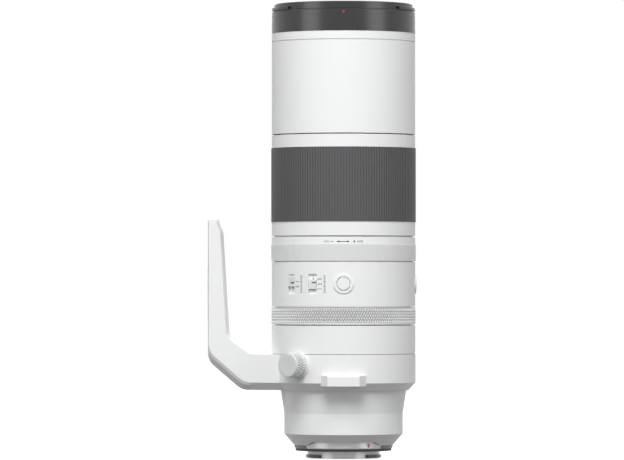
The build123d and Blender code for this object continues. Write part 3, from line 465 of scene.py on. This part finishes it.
NODE_FINISHES = {
    "White Paint": (
        "rear_barrel", "tripod_collar", "strap_lugs", "extension_tube", "front_barrel", "trim_ring",
    ),
    "White Plastic": ("rear_cover", "switch_barrel", "zoom_sleeve"),
    "White Button": ("stabilizer_switch", "focus_switch", "side_button", "top_button"),
    "Knurled White": ("control_ring", "lock_knob"),
    "Tension Ring White": ("tension_ring",),
    "Grip Rubber": ("zoom_grip",),
    "Seal Rubber": ("mount_seal",),
    "Front Black": ("hood_mount", "filter_ring"),
    "Black Plastic": (
        "contact_block", "rear_baffle", "focus_motor", "clamp_shoe", "iris_ring",
        "stabilizer_stage", "stabilizer_holder",
    ),
    "Inner Black": (
        "guide_barrel", "cam_barrel", "rear_cell", "iris_housing", "stabilizer_base",
        "front_cell", "variator_cell", "focus_cell",
    ),
    "Mount Metal": ("mount_ring",),
    "Steel": ("mount_screws", "focus_rods", "knob_stud", "foot_inserts"),
    "Roller Brass": ("front_rollers", "variator_rollers"),
    "Pin Gold": ("contact_pins",),
    "Circuit Board": ("control_board", "switch_board"),
    "Iris Blade": tuple(node for node in frame["nodes"] if node.startswith("iris_blade")),
    "Lens Glass": (
        "rear_lenses", "front_element", "front_doublet", "variator_lenses", "focus_lens",
        "stabilizer_lens",
    ),
}


# Mesh helpers

# The lift is also the painted shade of a knurled finish: full colour on a peak, darkest in a
# valley.
EDGE_LIFT = 0.6  # of the points on the two edges of a knurled band
FLAT_LIFT = 0.45  # of the points beside the band, for their tone alone


def round_point(radius, angle, height):
    """A point at a radius, an angle in degrees from +X, and a height."""
    return Vector((radius * cos(radians(angle)), radius * sin(radians(angle)), height))


def make_piece(name, mesh_data, finish, body):
    """An object from a bmesh that takes its finish by name and rides on a body."""
    mesh = bpy.data.meshes.new(name)
    mesh_data.to_mesh(mesh)
    mesh_data.free()
    mesh.materials.append(bpy.data.materials[finish])
    piece = bpy.data.objects.new(name, mesh)
    bpy.context.scene.collection.objects.link(piece)
    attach(piece, body)
    return piece


def knurled_surface(mesh_data, place, columns, rows):
    """A band of pyramids from place(turn, rise, lift), each quad folded along its valley."""
    lines = []
    share = mesh_data.verts.layers.float.new(LIFT_LAYER)
    for row in range(2 * rows + 1):
        line = []
        for column in range(2 * columns):
            lift = EDGE_LIFT if row in (0, 2 * rows) else (row + column + 1) % 2
            corner = mesh_data.verts.new(place(column / (2 * columns), row / (2 * rows), lift))
            # the lift is kept on the vertex for the painted shade in the valleys
            corner[share] = lift
            line.append(corner)
        lines.append(line)
    for row, (low, high) in enumerate(zip(lines, lines[1:])):
        for index in range(len(low)):
            after = (index + 1) % len(low)
            if (row + index) % 2 == 0:
                mesh_data.faces.new((low[index], low[after], high[index]))
                mesh_data.faces.new((low[after], high[after], high[index]))
            else:
                mesh_data.faces.new((low[index], low[after], high[after]))
                mesh_data.faces.new((low[index], high[after], high[index]))
    return lines


def raise_flat(mesh_data, lines):
    """Give every vertex outside a knurled band a painted shade between that of a valley and a peak.
    """
    share = mesh_data.verts.layers.float[LIFT_LAYER]
    banded = {corner for line in lines for corner in line}
    for corner in mesh_data.verts:
        if corner not in banded:
            corner[share] = FLAT_LIFT


def close_ring(mesh_data, first, second):
    """Faces between two rings of as many points."""
    for index in range(len(first)):
        after = (index + 1) % len(first)
        mesh_data.faces.new((first[index], first[after], second[after], second[index]))


def ring_of(mesh_data, place, points):
    """A ring of points from place(turn)."""
    return [mesh_data.verts.new(place(index / points)) for index in range(points)]


def wrap(mesh_data, radius, angle, height):
    """Bend a flat shape in X (round) and Y (up) onto a cylinder, in the part's frame."""
    for point in mesh_data.verts:
        across, up, out = point.co
        point.co = round_point(radius + out, angle + across / radius * 180 / pi, height + up)


def flat_bar(mesh_data, centre, size, step):
    """A flat rectangle, cut across so that it bends."""
    cuts = max(1, int(size[0] / step))
    left, low = centre[0] - size[0] / 2, centre[1] - size[1] / 2
    posts = [
        [mesh_data.verts.new((left + size[0] * cut / cuts, low + rise, 0)) for rise in (0, size[1])]
        for cut in range(cuts + 1)
    ]
    for near, far in zip(posts, posts[1:]):
        mesh_data.faces.new((near[0], far[0], far[1], near[1]))


def flat_fan(mesh_data, points):
    """A flat face through points."""
    mesh_data.faces.new([mesh_data.verts.new((across, up, 0)) for across, up in points])


def flat_disc(mesh_data, radius, points):
    """A flat round face about the middle."""
    turns = [2 * pi * step / points for step in range(points)]
    flat_fan(mesh_data, [(radius * cos(turn), radius * sin(turn)) for turn in turns])


def add_numeral(mesh_data, text, centre, size, turn):
    """A plain numeral from the built-in font, turned and centred."""
    font_size_share = 1.35  # of the numeral's height
    curve = bpy.data.curves.new("Numeral", "FONT")
    curve.body = text
    curve.size = size * font_size_share
    curve.align_x = "CENTER"
    curve.align_y = "CENTER"
    curve.resolution_u = 4
    holder = bpy.data.objects.new("Numeral", curve)
    bpy.context.scene.collection.objects.link(holder)
    bpy.context.view_layer.update()
    flat = bpy.data.meshes.new_from_object(
        holder.evaluated_get(bpy.context.evaluated_depsgraph_get())
    )
    points = [
        mesh_data.verts.new((
            centre[0] + point.co.x * cos(turn) - point.co.y * sin(turn),
            centre[1] + point.co.x * sin(turn) + point.co.y * cos(turn),
            0,
        ))
        for point in flat.vertices
    ]
    for face in flat.polygons:
        mesh_data.faces.new([points[index] for index in face.vertices])
    bpy.data.objects.remove(holder)
    bpy.data.curves.remove(curve)
    bpy.data.meshes.remove(flat)


# Operators, one for each piece or group of like pieces


class LENS_OT_finishes(bpy.types.Operator):
    """Make the finishes and give every piece of the frame its own"""

    bl_idname = "zoom_lens.finishes"
    bl_label = "Finish the Frame"

    def execute(self, context):
        make_finishes(context.scene.lens_finish)
        for finish, nodes in NODE_FINISHES.items():
            for node in nodes:
                materials = frame["nodes"][node].data.materials
                materials.clear()
                materials.append(bpy.data.materials[finish])
        return {"FINISHED"}


class LENS_OT_control_ring(bpy.types.Operator):
    """Model the knurled control ring"""

    bl_idname = "zoom_lens.control_ring"
    bl_label = "Control Ring"

    def execute(self, context):
        knurl = context.scene.lens_knurl
        low, high = height_range("control_ring")
        outer, depth, lip = outer_r("control_ring"), knurl.ring_depth, 0.3 * MM
        rim_r = outer - 0.6 * depth
        bore = outer_r("switch_barrel") - 2.7 * MM
        points = 2 * knurl.ring_diamonds
        shape = bmesh.new()

        def on_ring(turn, rise, lift):
            height = low + lip + (high - low - 2 * lip) * rise
            return round_point(outer - depth * (1 - lift), 360 * turn, height)

        lines = knurled_surface(shape, on_ring, knurl.ring_diamonds, knurl.ring_rows)
        inner_edges = []
        for line, edge in ((lines[0], low), (lines[-1], high)):
            rim = ring_of(shape, lambda turn: round_point(rim_r, 360 * turn, edge), points)
            inner = ring_of(shape, lambda turn: round_point(bore, 360 * turn, edge), points)
            close_ring(shape, line, rim)
            close_ring(shape, rim, inner)
            inner_edges.append(inner)
        close_ring(shape, *inner_edges)
        raise_flat(shape, lines)
        bmesh.ops.recalc_face_normals(shape, faces=shape.faces)
        piece = make_piece(
            "control_ring_knurled", shape, "Knurled White", "control"
        )
        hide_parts("control_ring")
        return {"FINISHED"}


class LENS_OT_lock_knob(bpy.types.Operator):
    """Model the collar's knurled lock knob"""

    bl_idname = "zoom_lens.lock_knob"
    bl_label = "Lock Knob"

    def execute(self, context):
        knurl = context.scene.lens_knurl
        low, high = (Vector(corner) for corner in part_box("lock_knob"))
        out = Vector(joint_with("name", "knob_turn")["axis"]).normalized()
        across = Vector((-out.y, out.x, 0))
        up = Vector((0, 0, 1))
        centre = (low + high) / 2
        radius = (high.z - low.z) / 2
        spread = abs(out.x) * (high.x - low.x) + abs(out.y) * (high.y - low.y)
        reach = (spread - 4 * radius * abs(out.x * out.y)) / (out.x ** 2 + out.y ** 2)
        back, face = -reach / 2, reach / 2
        knurl_low, knurl_high = back + 0.5 * MM, face - 1.1 * MM
        points = 2 * knurl.knob_diamonds
        shape = bmesh.new()

        def on_knob(distance, from_axis, turn):
            swing = 2 * pi * turn
            return centre + out * distance + (across * cos(swing) + up * sin(swing)) * from_axis

        def on_side(turn, rise, lift):
            from_axis = radius - knurl.knob_depth * (1 - lift)
            return on_knob(knurl_low + (knurl_high - knurl_low) * rise, from_axis, turn)

        lines = knurled_surface(shape, on_side, knurl.knob_diamonds, knurl.knob_rows)
        face_outline = (
            (face - 0.9 * MM, radius - 0.35 * MM),
            (face - 0.35 * MM, radius - 0.45 * MM),
            (face - 0.1 * MM, radius - 0.75 * MM),
            (face, radius - 1.2 * MM),
            (face - 0.25 * MM, radius * 0.55),
            (face - 0.32 * MM, radius * 0.12),
        )
        last = lines[-1]
        for distance, from_axis in face_outline:
            ring = ring_of(shape, lambda turn: on_knob(distance, from_axis, turn), points)
            close_ring(shape, last, ring)
            last = ring
        shape.faces.new(last)
        back_r = radius - 0.9 * MM
        rim = ring_of(shape, lambda turn: on_knob(back, back_r, turn), points)
        close_ring(shape, lines[0], rim)
        shape.faces.new(rim)
        raise_flat(shape, lines)
        bmesh.ops.recalc_face_normals(shape, faces=shape.faces)
        piece = make_piece("lock_knob_knurled", shape, "Knurled White", "knob")
        for part in piece.data.polygons:
            part.use_smooth = (part.center - centre).dot(out) > knurl_high
        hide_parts("lock_knob")
        return {"FINISHED"}


class LENS_OT_tension_marks(bpy.types.Operator):
    """Print the arrow with a minus and a plus on the tension ring"""

    bl_idname = "zoom_lens.tension_marks"
    bl_label = "Tension Marks"

    def execute(self, context):
        marks = context.scene.lens_marks
        half = marks.arrow_length / 2
        head, barb, line = 2.2 * MM, 0.68 * MM, 0.45 * MM
        sign, stroke = 1.9 * MM, 0.4 * MM
        sign_place = half + 2.9 * MM
        ticks, thin_tick, tick_growth = 5, 0.24, 0.05
        tick_place, tick_pitch, tick_height = 5.0, 0.9, 1.5 * MM
        band_r = outer_r("tension_ring") - 0.35 * MM
        band_z = height_range("tension_ring")[1] - 3.3 * MM
        shape = bmesh.new()
        flat_bar(shape, (0, 0), (2 * (half - head), line), MM)
        for way in (-1, 1):
            tip = (way * half, 0)
            root = way * (half - head)
            flat_fan(shape, [(root, barb), tip, (root, -barb)][::way])
            flat_bar(shape, (way * sign_place, 0), (sign, stroke), MM / 2)
            for index in range(ticks):
                tick = (thin_tick + tick_growth * index * (1 + way) / 2) * MM
                place = way * (half + (tick_place + tick_pitch * index) * MM)
                flat_bar(shape, (place, 0), (tick, tick_height), MM)
        flat_bar(shape, (sign_place, 0), (stroke, sign), MM)
        wrap(shape, band_r + marks.ink_height, FRONT - 0.3, band_z)
        make_piece("tension_marks", shape, "Printed Ink", "tension")
        return {"FINISHED"}


class LENS_OT_switch_marks(bpy.types.Operator):
    """Print the numerals, ticks and pointers by the two switches"""

    bl_idname = "zoom_lens.switch_marks"
    bl_label = "Switch Marks"

    def execute(self, context):
        marks = context.scene.lens_marks
        barrel_r = 50.75 * MM
        slider_rise = 1.25 * MM  # from the middle of the slider to its face
        stop_place, stop_size = 4.4 * MM, (0.9 * MM, 0.4 * MM)
        numeral_place = 6.1 * MM
        scale_place, ticks, tick_pitch, stroke = 9.1 * MM, 13, 0.95, 0.38 * MM
        pointer_place, pointer_size = 1.5 * MM, (3.2 * MM, 0.75 * MM)
        # the shift is how far a pointer stands above the middle of its slider
        for node, body, places, shift in (
            ("stabilizer_switch", "stabilizer_slider", ("0", "1"), -0.7 * MM),
            ("focus_switch", "focus_slider", ("1", "2", "3"), 1.2 * MM),
        ):
            low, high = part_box(node)
            x, y, z = ((low[axis] + high[axis]) / 2 for axis in range(3))
            angle = FRONT + atan(x / -y) * 180 / pi
            start, end = joint_with("child", body)["range_m"]
            shape = bmesh.new()
            for index, numeral in enumerate(places):
                rise = start + (end - start) * index / (len(places) - 1)
                add_numeral(shape, numeral, (numeral_place, rise), marks.numeral_size, pi / 2)
                flat_bar(shape, (stop_place, rise), stop_size, MM / 2)
            for index in range(ticks):
                long_way = 1.9 if index % 4 == 0 else 1.2
                rise = (start + end) / 2 + (index - ticks // 2) * tick_pitch * MM
                flat_bar(shape, (scale_place, rise), (long_way * MM, stroke), MM / 2)
            wrap(shape, barrel_r + marks.ink_height, angle, z)
            make_piece(f"{node}_scale", shape, "Printed Ink", "root")
            pointer = bmesh.new()
            flat_bar(pointer, (pointer_place, shift), pointer_size, MM / 2)
            wrap(pointer, sqrt(x * x + y * y) + slider_rise, angle, z)
            make_piece(f"{node}_pointer", pointer, "Printed Ink", body)
        return {"FINISHED"}


class LENS_OT_rim_shade_band(bpy.types.Operator):
    """Fit a dark band round the mount's rim, outside the cover's cut-out: painted shade where the
    rim faces down
    """

    bl_idname = "zoom_lens.rim_band"
    bl_label = "Rim Shade Band"

    def execute(self, context):
        mount_r = outer_r("mount_ring")
        radius = mount_r + 0.12 * MM
        inner = mount_r - 0.5 * MM
        top = height_range("rear_cover")[0] - 0.05 * MM
        start, sweep, steps = FRONT + 49, 262, 96
        profile = (
            (mount_r - 0.9 * MM, 0.7 * MM), (radius - 0.62 * MM, 0.56 * MM),
            (radius, 1.15 * MM), (radius, top - 0.1 * MM), (radius - 0.1 * MM, top),
            (inner, top), (inner, 1.2 * MM),
        )
        shape = bmesh.new()
        posts = []
        for step in range(steps + 1):
            angle = start + sweep * step / steps
            posts.append([
                shape.verts.new(round_point(reach, angle, rise)) for reach, rise in profile
            ])
        for near, far in zip(posts, posts[1:]):
            close_ring(shape, near, far)
        shape.faces.new(posts[0])
        shape.faces.new(posts[-1])
        bmesh.ops.recalc_face_normals(shape, faces=shape.faces)
        # the band is painted shade, not a part of the lens
        make_piece("mount_rim_shade_band", shape, "Rim Shade Band", "root")
        return {"FINISHED"}


class LENS_OT_index_marks(bpy.types.Operator):
    """Set the red dot for the hood and the red bar of the mount"""

    bl_idname = "zoom_lens.index_marks"
    bl_label = "Index Marks"

    def execute(self, context):
        ink = context.scene.lens_marks.ink_height
        dot_z = height_range("hood_mount")[1] - 1.9 * MM
        dot = bmesh.new()
        flat_disc(dot, context.scene.lens_marks.front_dot / 2, 24)
        wrap(dot, outer_r("hood_mount") + ink, FRONT, dot_z)
        make_piece("hood_index", dot, "Index Enamel", "front")

        mount_r, mark_z, mark_angle = outer_r("mount_ring"), 3.0 * MM, FRONT + 30.5
        field = bmesh.new()
        flat_bar(field, (0, 0), (3.6 * MM, 3.0 * MM), MM / 2)
        wrap(field, mount_r + ink, mark_angle, mark_z)
        make_piece("mount_index_field", field, "White Button", "root")
        red = bmesh.new()
        flat_bar(red, (0, 0), (1.1 * MM, 2.7 * MM), MM / 2)
        wrap(red, mount_r + 2 * ink, mark_angle, mark_z)
        make_piece("mount_index", red, "Index Enamel", "root")
        return {"FINISHED"}


# Studio


def seen_white(tree):
    """One for rays that show the background: from the camera, in gloss and through glass."""
    path = tree.nodes.new("ShaderNodeLightPath")
    first = math_node(tree, "MAXIMUM", path.outputs["Is Camera Ray"], path.outputs["Is Glossy Ray"])
    return math_node(tree, "MAXIMUM", first, path.outputs["Is Transmission Ray"])


def choose_seen(tree, unseen, seen, output):
    """Link one shader for the light on the object and another for what shows."""
    choose = tree.nodes.new("ShaderNodeMixShader")
    tree.links.new(seen_white(tree), choose.inputs["Fac"])
    tree.links.new(unseen, choose.inputs[1])
    tree.links.new(seen, choose.inputs[2])
    tree.links.new(choose.outputs[0], tree.nodes[output].inputs["Surface"])


def light_world(scene, level):
    """A white background that lights the object only a little."""
    world = bpy.data.worlds.new("Studio")
    scene.world = world
    world.use_nodes = True
    tree = world.node_tree
    fill = tree.nodes["Background"]
    fill.inputs["Color"].default_value = (1, 1, 1, 1)
    fill.inputs["Strength"].default_value = level
    shown = tree.nodes.new("ShaderNodeBackground")
    shown.inputs["Color"].default_value = (1, 1, 1, 1)
    choose_seen(tree, fill.outputs[0], shown.outputs[0], "World Output")


def lay_floor(scene):
    """A wide floor under the part, which shows white but keeps the part's shadow."""
    half_width, dull_grey, glow_level = 6.0, (0.14, 0.14, 0.14), 0.93
    sheet = bmesh.new()
    flat_bar(sheet, (0, 0), (2 * half_width, 2 * half_width), half_width)
    mesh = bpy.data.meshes.new("floor")
    sheet.to_mesh(mesh)
    sheet.free()
    floor = bpy.data.objects.new("floor", mesh)
    floor.location.z = CAD_BOX[0][2]
    scene.collection.objects.link(floor)
    paper, tree, shader = new_finish("Studio Floor", dull_grey, 0.9)
    glow = tree.nodes.new("ShaderNodeEmission")
    glow.inputs["Strength"].default_value = glow_level
    pale = tree.nodes.new("ShaderNodeAddShader")
    tree.links.new(shader.outputs[0], pale.inputs[0])
    tree.links.new(glow.outputs[0], pale.inputs[1])
    choose_seen(tree, shader.outputs[0], pale.outputs[0], "Material Output")
    mesh.materials.append(paper)


def face_target(item, place, target):
    """Put a lamp or a camera at a place and turn it to face a target."""
    item.location = place
    item.rotation_mode = "QUATERNION"
    item.rotation_quaternion = (Vector(target) - Vector(place)).to_track_quat("-Z", "Y")
    bpy.context.scene.collection.objects.link(item)


def hang_softboxes(stage):
    """The softboxes at both sides, above and behind, all turned to the part's middle."""
    middle = (0, 0, 0.16)
    for name, place, size, watts in (
        ("Side Softbox", (-1.38, -1.03, 0.62), (0.9, 1.8), stage.side_power),
        ("Side Softbox", (1.38, -1.03, 0.62), (0.9, 1.8), stage.side_power),
        ("Top Softbox", (-0.1, -1.55, 1.95), (1.5, 1.1), stage.top_power),
        ("Back Softbox", (0, 2.3, 1.1), (1.4, 1.4), stage.back_power),
    ):
        lamp = bpy.data.lights.new(name, "AREA")
        lamp.shape = "RECTANGLE"
        lamp.size, lamp.size_y = size
        lamp.energy = watts
        face_target(bpy.data.objects.new(name, lamp), place, middle)


def set_camera(scene, stage):
    """The camera, with the photograph's angle and framing."""
    lens = bpy.data.cameras.new("Camera")
    lens.sensor_width = 36.0
    focal_pixels = stage.camera_distance / stage.pixel_size
    lens.lens = focal_pixels * lens.sensor_width / IMAGE_WIDTH
    lens.clip_end = 50.0
    camera = bpy.data.objects.new("Camera", lens)
    place = (0, -stage.camera_distance, stage.camera_height)
    face_target(camera, place, (stage.aim_x, 0, stage.aim_z))
    scene.camera = camera


class LENS_OT_studio(bpy.types.Operator):
    """Set up the floor, the light and the camera"""

    bl_idname = "zoom_lens.studio"
    bl_label = "Studio"

    def execute(self, context):
        scene = context.scene
        scene.view_settings.view_transform = "Standard"
        light_world(scene, scene.lens_stage.fill_level)
        lay_floor(scene)
        hang_softboxes(scene.lens_stage)
        set_camera(scene, scene.lens_stage)
        return {"FINISHED"}


OPERATORS = (
    LENS_OT_finishes,
    LENS_OT_control_ring,
    LENS_OT_lock_knob,
    LENS_OT_tension_marks,
    LENS_OT_switch_marks,
    LENS_OT_rim_shade_band,
    LENS_OT_index_marks,
    LENS_OT_studio,
)
SETTINGS = {
    "lens_finish": LensFinishSettings,
    "lens_knurl": LensKnurlSettings,
    "lens_marks": LensMarkSettings,
    "lens_stage": LensStageSettings,
}


class LENS_PT_panel(bpy.types.Panel):
    """The lens's pieces and settings"""

    bl_label = "Zoom Lens"
    bl_idname = "LENS_PT_panel"
    bl_space_type = "VIEW_3D"
    bl_region_type = "UI"
    bl_category = "Zoom Lens"

    def draw(self, context):
        for operator in OPERATORS:
            self.layout.operator(operator.bl_idname)
        for name, settings in SETTINGS.items():
            box = self.layout.box()
            for label in settings.__annotations__:
                box.prop(getattr(context.scene, name), label)


def register():
    """Add the settings, the operators and the panel."""
    for name, settings in SETTINGS.items():
        bpy.utils.register_class(settings)
        setattr(bpy.types.Scene, name, PointerProperty(type=settings))
    for item in (*OPERATORS, LENS_PT_panel):
        bpy.utils.register_class(item)


def unregister():
    """Take them away again."""
    for item in reversed((*OPERATORS, LENS_PT_panel)):
        bpy.utils.unregister_class(item)
    for name, settings in SETTINGS.items():
        delattr(bpy.types.Scene, name)
        bpy.utils.unregister_class(settings)


def main():
    """Dress the frame."""
    register()
    bpy.ops.zoom_lens.finishes()
    bpy.ops.zoom_lens.control_ring()
    bpy.ops.zoom_lens.lock_knob()
    bpy.ops.zoom_lens.tension_marks()
    bpy.ops.zoom_lens.switch_marks()
    bpy.ops.zoom_lens.rim_band()
    bpy.ops.zoom_lens.index_marks()
    bpy.ops.zoom_lens.studio()


if __name__ == "__main__":
    main()
